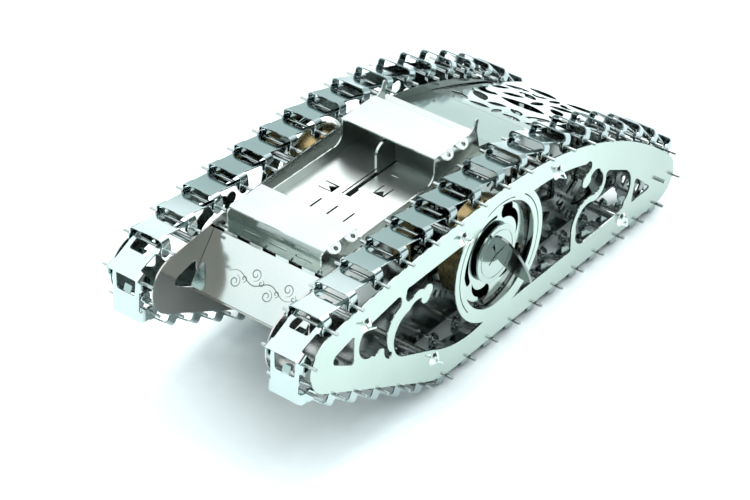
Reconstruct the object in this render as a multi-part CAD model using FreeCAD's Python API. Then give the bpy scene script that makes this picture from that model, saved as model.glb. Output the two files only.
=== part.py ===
import FreeCAD, Part
import math
import os

# Clockwork tracked tank chassis, folded and laser-cut from thin stainless sheet.
# +X points to the raised nose, +Y to the vehicle's left, +Z up.
# The side view is drawn in track pitches (one pitch = the distance between two
# track pins), with z = 0 on the pins of the ground run, and is scaled to mm here.

# ---------------------------------------------------------------- driving sizes
PITCH = 11.0                 # track pitch
LINK_COUNT = 36              # links in each track
SPROCKET_TEETH = 5
PANEL_T = 0.5                # sheet of the panels and hull plates
LINK_T = 0.4                 # sheet of the track links
PIN_R = 0.5                  # track pin wire
RUN_FIT = 0.05               # radial clearance of everything that turns

TRACK_Y = 28.6               # middle of a track
OUTER_PANEL_Y = 35.8         # inner face of the outer side panel
INNER_PANEL_Y = 20.2         # inner face of the inner side panel
PIN_Y0, PIN_Y1 = 19.5, 38.5  # the two ends of a track pin
HULL_HALF = 20.1             # half width of the plates between the inner panels
REAR_HALF = 19.2             # the same at the rear, where plates pass the track pins
WALL_Y = 16.55               # inner face of the tub's side walls
PANEL_GAP = 1.0              # the panel's edge lies this far inside the pin line

SPROCKET_R = PITCH / (2 * math.sin(math.pi / SPROCKET_TEETH))
CREST = (-1.0, 4.77)         # highest point of the pin line, pitches
NOSE = (5.75, 3.35)          # centre of the nose curve, pitches
NOSE_R = 0.94                # radius of the nose curve on the pin line, pitches
RAMP_DEG = 28.5              # slope of the front ramp
FOOT_R = 2.5                 # bend between the ground run and the ramp, pitches

BARREL = (-1.07, 2.65)       # mainspring barrel's axis, pitches
RING_R, RING_HOLE_R = 1.92, 1.54
TIE_RODS = [(0.53, 4.05), (4.49, 3.70), (1.70, 0.91), (-3.65, 3.87), (-6.97, 0.50)]
ROD_R = 0.8

MODULE = 1.0                 # gear module
BARREL_TEETH, GEAR_A_TEETH, GEAR_B_TEETH, DRIVE_TEETH = 36, 35, 28, 15
GEAR_A_DEG = 195.53          # direction from the barrel's axis to gear A's
GEAR_Y0, GEAR_Y1 = 21.0, 22.0      # between the inner panel and the links
BACKLASH = 0.16
STUD_R, AXLE_R, ARBOR_R = 1.0, 1.0, 1.5

FLOOR_Z = 4.20               # tub floor, pitches
LEVER_TRAVEL = 14.0

SIDES = {"left": 1, "right": -1}
V = FreeCAD.Vector
shapes = {}


# ---------------------------------------------------------------- small helpers
def mm(point):
    return (point[0] * PITCH, point[1] * PITCH)


def polar(centre, radius, degrees):
    a = math.radians(degrees)
    return (centre[0] + radius * math.cos(a), centre[1] + radius * math.sin(a))


def to3d(point, plane, level=0.0):
    """A 2-D point in the plane named by its two axes, as a 3-D vector."""
    if plane == "xz":
        return V(point[0], level, point[1])
    if plane == "xy":
        return V(point[0], point[1], level)
    return V(level, point[0], point[1])


def outline(start, moves, plane="xz", level=0.0):
    """Closed wire: each move is (end,) for a line or (middle, end) for an arc."""
    edges = []
    here = start
    for move in moves:
        a = to3d(here, plane, level)
        b = to3d(move[-1], plane, level)
        if len(move) == 1:
            edges.append(Part.LineSegment(a, b).toShape())
        else:
            edges.append(Part.Arc(a, to3d(move[0], plane, level), b).toShape())
        here = move[-1]
    if math.dist(here, start) > 1e-6:
        edges.append(Part.LineSegment(to3d(here, plane, level),
                                      to3d(start, plane, level)).toShape())
    return Part.Wire(edges)


def rounded(corners, plane="xz", level=0.0):
    """Closed wire through (x, y, radius) corners, each one rounded."""
    n = len(corners)
    moves = []
    for i in range(n):
        px, py, _ = corners[i - 1]
        x, y, r = corners[i]
        nx, ny, _ = corners[(i + 1) % n]
        u = V(px - x, py - y, 0).normalize()
        w = V(nx - x, ny - y, 0).normalize()
        half = u.getAngle(w) / 2
        if r <= 0 or half > math.pi / 2 - 1e-4:
            moves.append(((x, y),))
            continue
        cut = r / math.tan(half)
        middle = (u + w).normalize()
        reach = r / math.sin(half) - r
        a = (x + u.x * cut, y + u.y * cut)
        b = (x + w.x * cut, y + w.y * cut)
        m = (x + middle.x * reach, y + middle.y * reach)
        moves.append((a,))
        moves.append((m, b))
    start = moves[0][-1]
    return outline(start, moves[1:], plane, level)


def prism(wire, direction):
    return Part.Face(wire).extrude(direction)


def side_prism(wire, y0, y1):
    """A profile drawn in XZ at y = 0, extruded from y0 to y1."""
    solid = prism(wire, V(0, y1 - y0, 0))
    solid.translate(V(0, y0, 0))
    return solid


def round_bar(centre, radius, y0, y1):
    return Part.makeCylinder(radius, y1 - y0, V(centre[0], y0, centre[1]), V(0, 1, 0))


def box(x0, x1, y0, y1, z0, z1):
    return Part.makeBox(x1 - x0, y1 - y0, z1 - z0, V(x0, y0, z0))


def arc_slot(centre, radius, width, a0, a1):
    """Wire of a curved slot with round ends, in XZ."""
    inner, outer = radius - width / 2, radius + width / 2
    mid = (a0 + a1) / 2
    over = math.degrees(width / 2 / radius)
    return outline(polar(centre, inner, a0),
                   [(polar(centre, inner, mid), polar(centre, inner, a1)),
                    (polar(centre, radius, a1 + over), polar(centre, outer, a1)),
                    (polar(centre, outer, mid), polar(centre, outer, a0)),
                    (polar(centre, radius, a0 - over), polar(centre, inner, a0))])


def mirror_side(shape, side):
    """Shapes are drawn for the left side; the right one is its mirror image."""
    return shape if side > 0 else shape.mirror(V(0, 0, 0), V(0, 1, 0))


def add(name, shape):
    shapes[name] = shape


def both_sides(name, shape):
    for side, sign in SIDES.items():
        add(side + "_" + name, mirror_side(shape, sign))


# ------------------------------------------------- the track's closed pin line
def track_arcs(axle_x):
    """Centre, radius, start and end angle of the four curves, counter-clockwise.

    They are the foot, the nose, the long front and rear arcs of the top run and
    the sprocket; straight ground and ramp runs join them.
    """
    sprocket = (axle_x, SPROCKET_R)
    nose = mm(NOSE)
    nose_r = NOSE_R * PITCH
    crest = mm(CREST)
    # top arcs have their centres under the crest and touch the smaller circles
    def top_radius(circle, r):
        dx = circle[0] - crest[0]
        dz = crest[1] - circle[1]
        return (dx * dx + dz * dz - r * r) / (2 * (dz - r))
    front_r = top_radius(nose, nose_r)
    rear_r = top_radius(sprocket, SPROCKET_R)
    front_c = (crest[0], crest[1] - front_r)
    rear_c = (crest[0], crest[1] - rear_r)
    front_deg = math.degrees(math.atan2(nose[1] - front_c[1], nose[0] - front_c[0]))
    rear_deg = math.degrees(math.atan2(sprocket[1] - rear_c[1], sprocket[0] - rear_c[0]))
    # the ramp leaves the nose circle where its tangent has the ramp's slope
    ramp = math.radians(RAMP_DEG)
    leave = polar(nose, nose_r, -90 + RAMP_DEG)
    corner_x = leave[0] - leave[1] / math.tan(ramp)
    foot_r = FOOT_R * PITCH
    foot_x = corner_x - foot_r * math.tan(ramp / 2)
    return [((foot_x, foot_r), foot_r, -90, -90 + RAMP_DEG),
            (nose, nose_r, -90 + RAMP_DEG, front_deg),
            (front_c, front_r, front_deg, 90),
            (rear_c, rear_r, 90, rear_deg),
            (sprocket, SPROCKET_R, rear_deg, 270)]


def loop_wire(axle_x, inset):
    """The pin line, moved inwards by inset, as a closed wire in XZ."""
    arcs = track_arcs(axle_x)
    start = polar(arcs[-1][0], arcs[-1][1] - inset, 270)
    moves = []
    for centre, radius, a0, a1 in arcs:
        r = radius - inset
        first = polar(centre, r, a0)
        here = moves[-1][-1] if moves else start
        if math.dist(here, first) > 1e-6:
            moves.append((first,))
        moves.append((polar(centre, r, (a0 + a1) / 2), polar(centre, r, a1)))
    return outline(start, moves)


def pin_positions(axle_x):
    """Pins stepped round the pin line at one pitch, and what is left over."""
    runs = []
    here = polar((axle_x, SPROCKET_R), SPROCKET_R, 270)
    for centre, radius, a0, a1 in track_arcs(axle_x):
        first = polar(centre, radius, a0)
        gap = math.dist(here, first)
        if gap > 1e-6:
            runs.append((gap, lambda s, p=here, q=first, g=gap:
                         (p[0] + (q[0] - p[0]) * s / g, p[1] + (q[1] - p[1]) * s / g)))
        span = radius * math.radians(a1 - a0)
        runs.append((span, lambda s, c=centre, r=radius, a=a0:
                     polar(c, r, a + math.degrees(s / r))))
        here = polar(centre, radius, a1)
    total = sum(length for length, _ in runs)

    def at(s):
        for length, place in runs:
            if s <= length:
                return place(s)
            s -= length
        return runs[-1][1](runs[-1][0] + s)

    s = 0.0
    pins = [at(0.0)]
    for _ in range(LINK_COUNT):
        low, high = s + 0.5 * PITCH, s + 1.5 * PITCH
        for _ in range(50):
            mid = (low + high) / 2
            if math.dist(at(mid), pins[-1]) < PITCH:
                low = mid
            else:
                high = mid
        s = high
        pins.append(at(s))
    return pins[:-1], total - s


def solve_axle():
    """The rear axle's place that lets a whole number of links close the loop."""
    low, high = -9.3 * PITCH, -7.7 * PITCH
    for _ in range(50):
        mid = (low + high) / 2
        if pin_positions(mid)[1] > 0:
            low = mid
        else:
            high = mid
    return (low + high) / 2


AXLE_X = solve_axle()
AXLE = (AXLE_X, SPROCKET_R)
PINS = pin_positions(AXLE_X)[0]


# ---------------------------------------------------------------- track links
MOUTH_X, TAIL_X = 1.10 * PITCH, -0.15 * PITCH
MOUTH_H, TAIL_H = 4.2, 1.0          # height of the plate over the pin line
MOUTH_W, TAIL_W = 6.28, 5.4         # half width at those two ends
MOUTH_SHOULDER, TAIL_SHOULDER = 1.6, 0.7
EAR_LOW = -3.0
MOUTH_EAR_R, TAIL_EAR_R = 2.1, 1.9
FREE_X0, FREE_X1 = 2.2, 9.0         # the plate has free side edges between these
FREE_W0, FREE_W1 = 5.0, 4.75        # half width of the plate there
FORK_X = 4.3                        # closed end of the fork at the tail


def between(x, at_tail, at_mouth):
    """A size that changes evenly from the tail's value to the mouth's."""
    return at_tail + (at_mouth - at_tail) * (x - TAIL_X) / (MOUTH_X - TAIL_X)


def link_section(x, inset):
    """An upside-down U with rounded shoulders, in YZ at x, as a filled outline."""
    half = between(x, TAIL_W, MOUTH_W) - inset
    top = between(x, TAIL_H, MOUTH_H) - inset
    radius = between(x, TAIL_SHOULDER, MOUTH_SHOULDER) - inset
    shoulder = radius * (1 - math.sqrt(0.5))
    return outline((-half, EAR_LOW),
                   [((-half, top - radius),),
                    ((-half + shoulder, top - shoulder), (-half + radius, top)),
                    ((half - radius, top),),
                    ((half - shoulder, top - shoulder), (half, top - radius)),
                    ((half, EAR_LOW),)], "yz", x)


def make_link():
    """One folded link: tail pin at the origin, mouth pin at (PITCH, 0, 0)."""
    reach = 2.0
    x0, x1 = TAIL_X - reach, MOUTH_X + reach
    outer = Part.makeLoft([link_section(x0, 0), link_section(x1, 0)], True, True)
    inner = Part.makeLoft([link_section(x0 - 0.01, LINK_T), link_section(x1 + 0.01, LINK_T)],
                          True, True)
    inner.translate(V(0, 0, -0.02))
    lower = box(x0 - 1, x1 + 1, -8, 8, EAR_LOW - 1, EAR_LOW + 0.05)
    shell = outer.cut(inner).cut(lower)
    # side view: a plate above two round ears
    side = box(TAIL_X, MOUTH_X, -9, 9, 0.7, 9)
    side = side.fuse([round_bar((0, 0), TAIL_EAR_R, -9, 9),
                      round_bar((PITCH, 0), MOUTH_EAR_R, -9, 9),
                      box(-1.3, FREE_X0, -9, 9, 0, 1.2), box(PITCH - 1.6, MOUTH_X, -9, 9, 0, 2)])
    link = shell.common(side)
    # plan view: free edges between the ears, and a fork that lets the sprocket reach the pin
    cuts = [rounded([(FREE_X0, s * FREE_W0, 0.6), (FREE_X1, s * FREE_W1, 0.6),
                     (FREE_X1, s * 9, 0), (FREE_X0, s * 9, 0)], "xy") for s in (1, -1)]
    cuts.append(rounded([(-6, -3.9, 0), (FORK_X, -3.4, 0.8), (FORK_X, 3.4, 0.8), (-6, 3.9, 0)],
                        "xy"))
    for wire in cuts:
        cutter = prism(wire, V(0, 0, 12))
        cutter.translate(V(0, 0, EAR_LOW - 1))
        link = link.cut(cutter)
    # guide tab bent down from the fork's closed end
    under = between(FORK_X, TAIL_H, MOUTH_H) - LINK_T
    tab = outline((FORK_X + 0.05, under), [((FORK_X + 0.5, under + 0.05),),
                                           ((FORK_X - 1.4, 0.6),), ((FORK_X - 1.8, 0.8),)])
    link = link.fuse(side_prism(tab, -1.3, 1.3))
    for pin in ((0, 0), (PITCH, 0)):
        link = link.cut(round_bar(pin, PIN_R + RUN_FIT, -9, 9))
    return link


def make_pin():
    bar = round_bar((0, 0), PIN_R, PIN_Y0, PIN_Y1)
    middle = (PIN_Y0 + PIN_Y1) / 2
    ends = [e for e in bar.Edges if e.Length < 4 and abs(e.CenterOfMass.y - middle) > 5]
    return bar.makeChamfer(0.15, ends)


link_shape = make_link()
pin_shape = make_pin()
ground, upper, pin_set = [], [], []
for i in range(LINK_COUNT):
    mouth, tail = PINS[i], PINS[(i + 1) % LINK_COUNT]
    turn = -math.degrees(math.atan2(mouth[1] - tail[1], mouth[0] - tail[0]))
    one = link_shape.copy()
    one.Placement = FreeCAD.Placement(V(tail[0], TRACK_Y, tail[1]),
                                      FreeCAD.Rotation(V(0, 1, 0), turn))
    flat = abs(mouth[1]) < 0.01 and abs(tail[1]) < 0.01
    (ground if flat else upper).append(one)
    wire_pin = pin_shape.copy()
    wire_pin.translate(V(mouth[0], 0, mouth[1]))
    pin_set.append(wire_pin)
both_sides("track_ground_links", Part.Compound(ground))
both_sides("track_links", Part.Compound(upper))
both_sides("track_pins", Part.Compound(pin_set))


# ---------------------------------------------------------------- gears
def gear_wire(centre, teeth, phase_deg):
    """Involute outline; a tooth is centred on phase_deg. Flanks are arcs."""
    r = MODULE * teeth / 2
    base = r * math.cos(math.radians(20))
    tip, root = r + MODULE * 0.95, r - MODULE * 1.25

    def involute(radius):
        k = math.sqrt(max((radius / base) ** 2 - 1, 0))
        return k - math.atan(k)

    half = math.pi / (2 * teeth) - BACKLASH / (2 * r) + involute(r)
    flank = [(rad, math.degrees(half - involute(rad)))
             for rad in (max(base, root), (max(base, root) + tip) / 2, tip)]
    pitch_deg = 360 / teeth
    moves = []
    start = polar(centre, root, phase_deg - flank[0][1])
    for i in range(teeth):
        a = phase_deg + i * pitch_deg
        if flank[0][0] > root:
            moves.append((polar(centre, flank[0][0], a - flank[0][1]),))
        moves.append((polar(centre, flank[1][0], a - flank[1][1]),
                      polar(centre, tip, a - flank[2][1])))
        moves.append((polar(centre, tip, a), polar(centre, tip, a + flank[2][1])))
        moves.append((polar(centre, flank[1][0], a + flank[1][1]),
                      polar(centre, flank[0][0], a + flank[0][1])))
        if flank[0][0] > root:
            moves.append((polar(centre, root, a + flank[0][1]),))
        moves.append((polar(centre, root, a + pitch_deg / 2),
                      polar(centre, root, a + pitch_deg - flank[0][1])))
    return outline(start, moves)


def direction(a, b):
    return math.degrees(math.atan2(b[1] - a[1], b[0] - a[0]))


def meshed_phase(driver, driver_teeth, driver_phase, driven, driven_teeth):
    """Phase that puts a gap of the driven gear on the driver's nearest tooth."""
    alpha = direction(driver, driven)
    step = 360 / driver_teeth
    offset = (driver_phase - alpha + step / 2) % step - step / 2
    gap = alpha + 180 - offset * driver_teeth / driven_teeth
    return gap + 180 / driven_teeth


def spokes(centre, r_in, r_out, count, gap_deg, phase=0):
    """Wires of the openings between a wheel's spokes."""
    wires = []
    for i in range(count):
        mid = phase + i * 360 / count
        half = 180 / count - gap_deg
        inner_half = half * 0.72
        wires.append(outline(
            polar(centre, r_in, mid - inner_half),
            [(polar(centre, r_in, mid), polar(centre, r_in, mid + inner_half)),
             (polar(centre, r_out, mid + half),),
             (polar(centre, r_out, mid), polar(centre, r_out, mid - half))]))
    return wires


def circles_meet(a, ra, b, rb):
    """The upper crossing of two circles."""
    d = math.dist(a, b)
    along = (ra * ra - rb * rb + d * d) / (2 * d)
    off = math.sqrt(ra * ra - along * along)
    ux, uz = (b[0] - a[0]) / d, (b[1] - a[1]) / d
    spots = [(a[0] + ux * along - uz * off * s, a[1] + uz * along + ux * off * s)
             for s in (1, -1)]
    return max(spots, key=lambda p: p[1])


BARREL_C = mm(BARREL)
pair = MODULE / 2
GEAR_A = polar(BARREL_C, pair * (BARREL_TEETH + GEAR_A_TEETH), GEAR_A_DEG)
GEAR_B = circles_meet(GEAR_A, pair * (GEAR_A_TEETH + GEAR_B_TEETH),
                      AXLE, pair * (GEAR_B_TEETH + DRIVE_TEETH))
phase_barrel = direction(BARREL_C, GEAR_A)
phase_a = meshed_phase(BARREL_C, BARREL_TEETH, phase_barrel, GEAR_A, GEAR_A_TEETH)
phase_b = meshed_phase(GEAR_A, GEAR_A_TEETH, phase_a, GEAR_B, GEAR_B_TEETH)
phase_drive = meshed_phase(GEAR_B, GEAR_B_TEETH, phase_b, AXLE, DRIVE_TEETH)


HUB_END = GEAR_Y1 + 2.2


def idler(centre, teeth, phase, windows):
    wheel = side_prism(gear_wire(centre, teeth, phase), GEAR_Y0, GEAR_Y1)
    rim = MODULE * teeth / 2 - 3.2
    for wire in spokes(centre, 4.4, rim, windows, 9, phase):
        wheel = wheel.cut(side_prism(wire, GEAR_Y0 - 1, GEAR_Y1 + 1))
    wheel = wheel.fuse(round_bar(centre, 2.6, GEAR_Y1, HUB_END))
    return wheel.cut(round_bar(centre, STUD_R + RUN_FIT, GEAR_Y0 - 3, GEAR_Y1 + 3))


both_sides("gear_a", idler(GEAR_A, GEAR_A_TEETH, phase_a, 5))
both_sides("gear_b", idler(GEAR_B, GEAR_B_TEETH, phase_b, 4))


def stud(centre):
    """Shouldered post that a gear turns on, riveted in the inner panel."""
    post = round_bar(centre, STUD_R, INNER_PANEL_Y - 0.4, HUB_END + 0.9)
    return post.fuse(round_bar(centre, 1.7, HUB_END + 0.3, HUB_END + 0.9))


both_sides("gear_studs", Part.Compound([stud(GEAR_A), stud(GEAR_B)]))


# ------------------------------------------------------- mainspring barrel
DRUM_R, DRUM_T = 15.4, 0.6
DRUM_Y0, DRUM_Y1 = 25.8, 33.2
COVER_T = 0.5
drum = round_bar(BARREL_C, DRUM_R, DRUM_Y0, DRUM_Y1)
drum = drum.cut(round_bar(BARREL_C, DRUM_R - DRUM_T, DRUM_Y0 + DRUM_T, DRUM_Y1 + 1))
drum = drum.cut(round_bar(BARREL_C, ARBOR_R + RUN_FIT, DRUM_Y0 - 1, DRUM_Y1 + 1))
both_sides("spring_barrel", drum)

wheel = side_prism(gear_wire(BARREL_C, BARREL_TEETH, phase_barrel), GEAR_Y0, GEAR_Y1)
for wire in spokes(BARREL_C, 7.0, 14.6, 6, 7, phase_barrel):
    wheel = wheel.cut(side_prism(wire, GEAR_Y0 - 1, GEAR_Y1 + 1))
wheel = wheel.fuse(round_bar(BARREL_C, 5.0, GEAR_Y1, DRUM_Y0))
wheel = wheel.cut(round_bar(BARREL_C, ARBOR_R + RUN_FIT, GEAR_Y0 - 3, DRUM_Y0 + 1))
both_sides("barrel_wheel", wheel)


def cover_plate():
    """The barrel's outer cover, pierced by curved scroll openings."""
    plate = round_bar(BARREL_C, DRUM_R + 0.2, DRUM_Y1, DRUM_Y1 + COVER_T)
    cuts = [arc_slot(BARREL_C, 12.4, 1.9, -22, 48), arc_slot(BARREL_C, 11.4, 0.9, 66, 98),
            arc_slot(BARREL_C, 14.5, 0.45, 62, 118)]
    # three commas, each a broad head that thins into a curved tail
    for start, length in ((118, 62), (206, 50), (284, 44)):
        cuts.append(outline(
            polar(BARREL_C, 10.3, start),
            [(polar(BARREL_C, 14.4, start - 7), polar(BARREL_C, 14.0, start + 14)),
             (polar(BARREL_C, 13.6, start + length * 0.6), polar(BARREL_C, 11.2, start + length)),
             (polar(BARREL_C, 11.9, start + length * 0.55), polar(BARREL_C, 10.3, start))]))
    for wire in cuts:
        plate = plate.cut(side_prism(wire, DRUM_Y1 - 1, DRUM_Y1 + 2))
    return plate.cut(round_bar(BARREL_C, ARBOR_R + RUN_FIT, DRUM_Y1 - 1, DRUM_Y1 + 2))


both_sides("barrel_cover", cover_plate())


def mainspring():
    """Coiled strip: half turns whose centre steps from one side to the other."""
    strip, gap, turns = 0.35, 0.62, 9
    radius = 4.2
    inner, outer = [], []
    centre = BARREL_C
    sign = 1
    for _ in range(turns * 2):
        a0 = 0 if sign > 0 else 180
        for store, r in ((inner, radius), (outer, radius + strip)):
            store.append((polar(centre, r, a0), polar(centre, r, a0 + 90),
                          polar(centre, r, a0 + 180)))
        centre = (centre[0] + sign * gap / 2, centre[1])
        radius += gap / 2
        sign = -sign
    moves = [(m, b) for _, m, b in inner]
    moves.append((outer[-1][2],))
    moves += [(m, a) for a, m, _ in reversed(outer)]
    return side_prism(outline(inner[0][0], moves), DRUM_Y0 + 1.4, DRUM_Y1 - 0.6)


both_sides("mainspring", mainspring())

# ------------------------------------------------------- arbor, key and ratchet
DISC_R, DISC_Y0, DISC_T = 9.2, 34.8, 0.5
KEY_DEG = -110.0                   # direction of the key blade's lower end
RATCHET_Y0, RATCHET_Y1 = 18.4, 19.2
RATCHET_TEETH = 12
arbor = round_bar(BARREL_C, ARBOR_R, RATCHET_Y0 - 0.6, DISC_Y0)
both_sides("barrel_arbor", arbor)

disc = round_bar(BARREL_C, DISC_R, DISC_Y0, DISC_Y0 + DISC_T)
for turn in (150.0, 60.0):
    cross = box(-4.2, 4.2, DISC_Y0 - 1, DISC_Y0 + 2, -0.3, 0.3)
    cross.rotate(V(0, 0, 0), V(0, 1, 0), -turn)
    cross.translate(V(BARREL_C[0], 0, BARREL_C[1]))
    disc = disc.cut(cross)
groove = round_bar(BARREL_C, 7.7, DISC_Y0 + DISC_T - 0.15, DISC_Y0 + DISC_T + 1)
groove = groove.cut(round_bar(BARREL_C, 7.35, DISC_Y0, DISC_Y0 + DISC_T + 1))
both_sides("key_disc", disc.cut(groove))


def key_blade():
    """Leaf-shaped thumb blade that stands square on the disc.

    It is drawn with u along the disc and v outwards, then turned to KEY_DEG.
    """
    leaf = outline((-6.0, 0.02),
                   [((-9.6, 2.6), (-8.3, 6.2)), ((-2.0, 9.4), (7.4, 10.6)),
                    ((6.6, 5.2), (2.2, 0.02))], "xy")
    blade = prism(leaf, V(0, 0, 0.8))
    blade.translate(V(0, DISC_Y0 + DISC_T, -0.4))
    blade.rotate(V(0, 0, 0), V(0, 1, 0), -KEY_DEG)
    blade.translate(V(BARREL_C[0], 0, BARREL_C[1]))
    return blade


both_sides("winding_key", key_blade())


def ratchet():
    """Saw-toothed wheel on the arbor's inner end."""
    r_tip, r_root = 7.0, 5.6
    step = 360 / RATCHET_TEETH
    moves = []
    for i in range(RATCHET_TEETH):
        moves.append((polar(BARREL_C, r_tip, 90 + (i + 0.95) * step),))
        moves.append((polar(BARREL_C, r_root, 90 + (i + 1) * step),))
    wheel = side_prism(outline(polar(BARREL_C, r_root, 90), moves[:-1]), RATCHET_Y0, RATCHET_Y1)
    return wheel.cut(round_bar(BARREL_C, ARBOR_R, RATCHET_Y0 - 1, RATCHET_Y1 + 1))


both_sides("ratchet_wheel", ratchet())

CLICK_R = 10.5                       # pivot's distance from the arbor
CLICK = polar(BARREL_C, CLICK_R, 52)


def click():
    """Pawl whose nose rests in a tooth gap and turns on a pin in the inner panel."""
    nose = polar(BARREL_C, 6.0, 91.2)
    back = polar(BARREL_C, 7.6, 93.5)
    throat = polar(BARREL_C, 7.45, 89.7)
    heel = polar(BARREL_C, 12.6, 52)
    belly = polar(BARREL_C, 8.6, 52)
    arm = outline(nose, [(back,), (polar(BARREL_C, 10.2, 72), polar(CLICK, 2.0, 110)),
                         (heel, polar(CLICK, 2.0, 0)), (belly, polar(CLICK, 2.0, 200)),
                         (polar(BARREL_C, 8.0, 72), throat), (nose,)])
    return side_prism(arm, RATCHET_Y0, RATCHET_Y1).cut(
        round_bar(CLICK, 0.8 + RUN_FIT, RATCHET_Y0 - 1, RATCHET_Y1 + 1))


both_sides("ratchet_click", click())

# ------------------------------------------------------- sprocket and axle
SPROCKET_DISCS = (TRACK_Y - 2.6, TRACK_Y + 2.6)   # middle planes of the two toothed discs
disc_t = 0.6


def sprocket():
    """Two notched discs with a spacer sleeve; a notch holds each track pin."""
    solids = []
    for y in SPROCKET_DISCS:
        plate = round_bar(AXLE, SPROCKET_R, y - disc_t / 2, y + disc_t / 2)
        for i in range(SPROCKET_TEETH):
            at = polar(AXLE, SPROCKET_R, 270 + i * 360 / SPROCKET_TEETH)
            plate = plate.cut(round_bar(at, PIN_R + 0.25, y - 2, y + 2))
        for wire in spokes(AXLE, 3.6, 6.6, SPROCKET_TEETH, 10, 270):
            plate = plate.cut(side_prism(wire, y - 2, y + 2))
        solids.append(plate)
    sleeve = round_bar(AXLE, 2.2, SPROCKET_DISCS[0] + disc_t / 2, SPROCKET_DISCS[1] - disc_t / 2)
    whole = solids[0].fuse([solids[1], sleeve])
    return whole.cut(round_bar(AXLE, AXLE_R, SPROCKET_DISCS[0] - 2, SPROCKET_DISCS[1] + 2))


both_sides("drive_sprocket", sprocket())
drive = side_prism(gear_wire(AXLE, DRIVE_TEETH, phase_drive), GEAR_Y0, GEAR_Y1)
drive = drive.fuse(round_bar(AXLE, 2.6, GEAR_Y1, SPROCKET_DISCS[0] - disc_t / 2))
both_sides("drive_gear", drive.cut(round_bar(AXLE, AXLE_R, GEAR_Y0 - 2, SPROCKET_DISCS[0] + 2)))
JOURNAL_R = 0.6                      # the axle's thin outer end
axle = round_bar(AXLE, AXLE_R, INNER_PANEL_Y + 0.2, OUTER_PANEL_Y - 0.3)
both_sides("drive_axle", axle.fuse(round_bar(AXLE, JOURNAL_R, OUTER_PANEL_Y - 1, PIN_Y1)))


# ---------------------------------------------------------------- side panels
def pitch_outline(start, moves):
    return outline(mm(start), [tuple(mm(p) for p in move) for move in moves])


def pitch_rounded(corners):
    return rounded([(x * PITCH, z * PITCH, r * PITCH) for x, z, r in corners])


def on_ring(z, side):
    """Where the ring's outer edge stands at height z, in pitches."""
    return (BARREL[0] + side * math.sqrt(RING_R ** 2 - (z - BARREL[1]) ** 2), z)


NOSE_WINDOW = [(4.93, 3.66, 0.09), (6.02, 3.40, 0.16), (4.98, 2.76, 0.07)]
TAIL_WINDOW = [(-8.44, 0.83, 0.07), (-7.42, 0.83, 0.07), (-7.58, 1.62, 0.08)]


def crescent_window():
    return pitch_outline((3.10, 3.72), [
        ((3.20, 3.79), (3.32, 3.78)), ((4.40, 3.62),), ((4.78, 3.10), (4.25, 2.60)),
        ((4.12, 2.53), (4.00, 2.57)), ((3.86, 2.60), (3.78, 2.48)),
        ((3.76, 2.30), (3.62, 2.12)), ((3.50, 2.13), (3.55, 2.30)),
        ((3.62, 2.95), (3.12, 3.44)), ((3.06, 3.58), (3.10, 3.72))])


def front_window():
    return pitch_outline(on_ring(0.84, 1), [
        ((0.95, 0.90), (1.75, 1.24)), ((3.05, 1.84),), ((3.40, 2.45), (2.75, 3.14)),
        ((2.50, 3.27), (2.25, 3.22)), ((2.06, 2.98), (1.92, 3.12)),
        ((1.88, 3.44), (2.15, 3.42)), ((2.32, 3.52), (2.60, 3.44)),
        ((2.88, 3.50), (2.88, 3.72)), ((2.84, 3.84), (2.72, 3.85)), (on_ring(3.88, 1),),
        ((BARREL[0] + RING_R, BARREL[1]), on_ring(0.84, 1))])


def middle_window():
    return pitch_outline(on_ring(0.84, -1), [
        ((BARREL[0] - RING_R, BARREL[1]), on_ring(3.90, -1)),
        ((-3.80, 3.76), (-5.00, 3.42)), ((-5.28, 3.30), (-5.22, 3.10)),
        ((-5.08, 3.06), (-4.96, 2.98)), ((-4.90, 2.72), (-5.12, 2.66)),
        ((-5.24, 2.74), (-5.26, 2.88)), ((-5.52, 2.99), (-5.76, 2.78)),
        ((-5.86, 2.36), (-5.45, 2.18)), ((-4.72, 2.04), (-4.44, 1.35)), ((-4.44, 0.90),),
        ((-4.42, 0.84), (-4.36, 0.83))])


def rear_window():
    return pitch_outline((-5.20, 0.83), [
        ((-4.72, 0.98), (-4.66, 1.35)), ((-4.80, 1.88), (-5.45, 1.96)),
        ((-5.86, 2.08), (-6.02, 2.50)), ((-6.08, 2.60), (-6.20, 2.60)), ((-7.05, 2.15),),
        ((-7.34, 1.60), (-7.05, 1.06)), ((-6.92, 0.87), (-6.70, 0.83))])


def outer_panel():
    panel = side_prism(loop_wire(AXLE_X, PANEL_GAP), OUTER_PANEL_Y, OUTER_PANEL_Y + PANEL_T)
    ring = [arc_slot(BARREL_C, 19.0, 0.35, 128, 218), arc_slot(BARREL_C, 19.0, 0.35, -38, 40),
            arc_slot(BARREL_C, 17.9, 0.35, 70, 112)]
    wires = [pitch_rounded(NOSE_WINDOW), pitch_rounded(TAIL_WINDOW), crescent_window(),
             front_window(), middle_window(), rear_window()] + ring
    for wire in wires:
        panel = panel.cut(side_prism(wire, OUTER_PANEL_Y - 1, OUTER_PANEL_Y + 2))
    holes = [(BARREL_C, RING_HOLE_R * PITCH), (AXLE, JOURNAL_R + RUN_FIT)]
    holes += [(mm(rod), ROD_R + 0.02) for rod in TIE_RODS]
    for centre, radius in holes:
        panel = panel.cut(round_bar(centre, radius, OUTER_PANEL_Y - 1, OUTER_PANEL_Y + 2))
    return panel


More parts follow.
